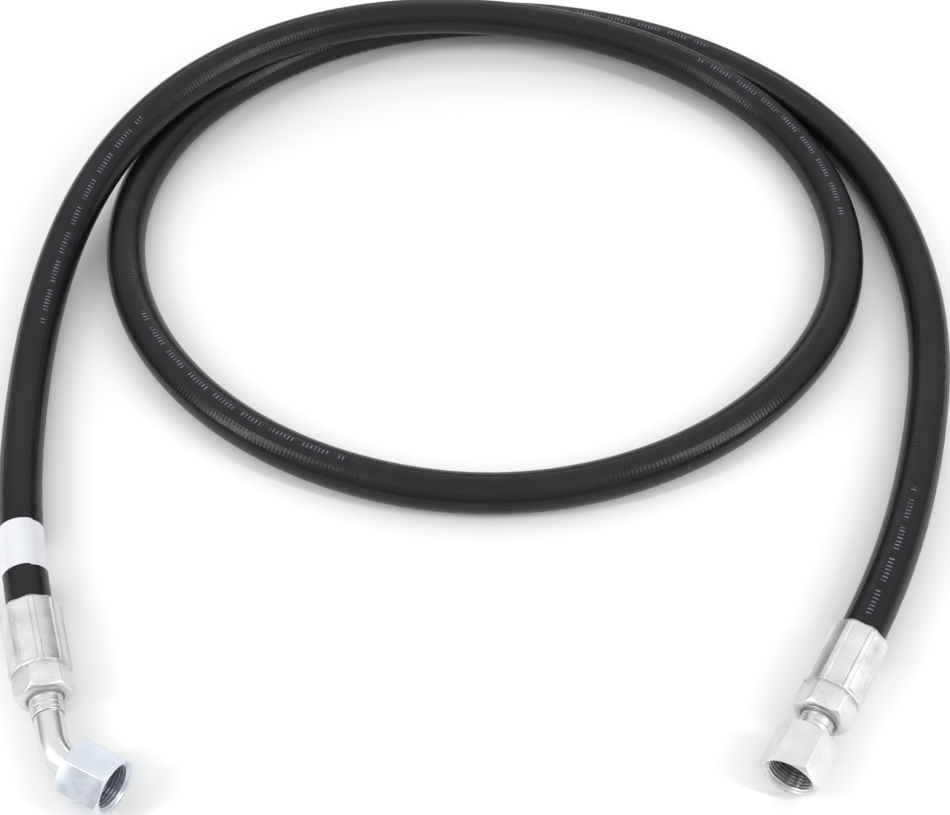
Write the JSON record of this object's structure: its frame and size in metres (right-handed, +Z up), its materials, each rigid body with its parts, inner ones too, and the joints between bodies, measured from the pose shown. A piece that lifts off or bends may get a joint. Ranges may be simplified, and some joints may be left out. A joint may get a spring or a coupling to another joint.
{
  "type": "hydraulic hose assembly",
  "caption": "Wire-braid hydraulic hose laid in loops, with a straight flat-face swivel nut on one crimped end and a 45 degree bent-tube swivel on the other.",
  "frame": {"origin": "on the floor, midway between the outer ends of the two end fittings, measured without the hose and its label", "axes": "+X from the elbow fitting towards the straight fitting, +Y from the fittings into the loops of hose, +Z up"},
  "size_m": [0.4733, 0.5216, 0.0413],
  "materials": {
    "cover_rubber": "satin black rubber with the fine imprint of its curing wrap",
    "liner_rubber": "smooth black",
    "braid_wire": "brass-coated steel wire",
    "label": "blank white film",
    "zinc": "zinc-plated steel, satin",
    "zinc_nut": "zinc-plated steel, bright machined",
    "blue_zinc_nut": "blue-tinted zinc-plated steel, bright machined"
  },
  "bodies": {
    "hose": {"hose_cover": "cover_rubber", "wire_braid": "braid_wire", "inner_tube": "liner_rubber", "id_label": "label", "straight_shell": "zinc", "straight_stem": "zinc", "straight_seal_face": "zinc", "elbow_shell": "zinc", "elbow_stem": "zinc", "elbow_tube": "zinc", "elbow_seal_face": "zinc"},
    "straight_swivel": {"straight_nut": "zinc_nut"},
    "elbow_swivel": {"elbow_nut": "blue_zinc_nut"}
  },
  "joints": [
    {"name": "straight_nut_spin", "type": "hinge", "parent": "hose", "child": "straight_swivel", "pos_m": [0.185, 0.0325, 0.0133], "axis": [-0.515, -0.8572, 0], "continuous": true},
    {"name": "elbow_nut_spin", "type": "hinge", "parent": "hose", "child": "elbow_swivel", "pos_m": [-0.15917, -0.02531, 0.0133], "axis": [0.891, -0.454, 0], "continuous": true}
  ]
}
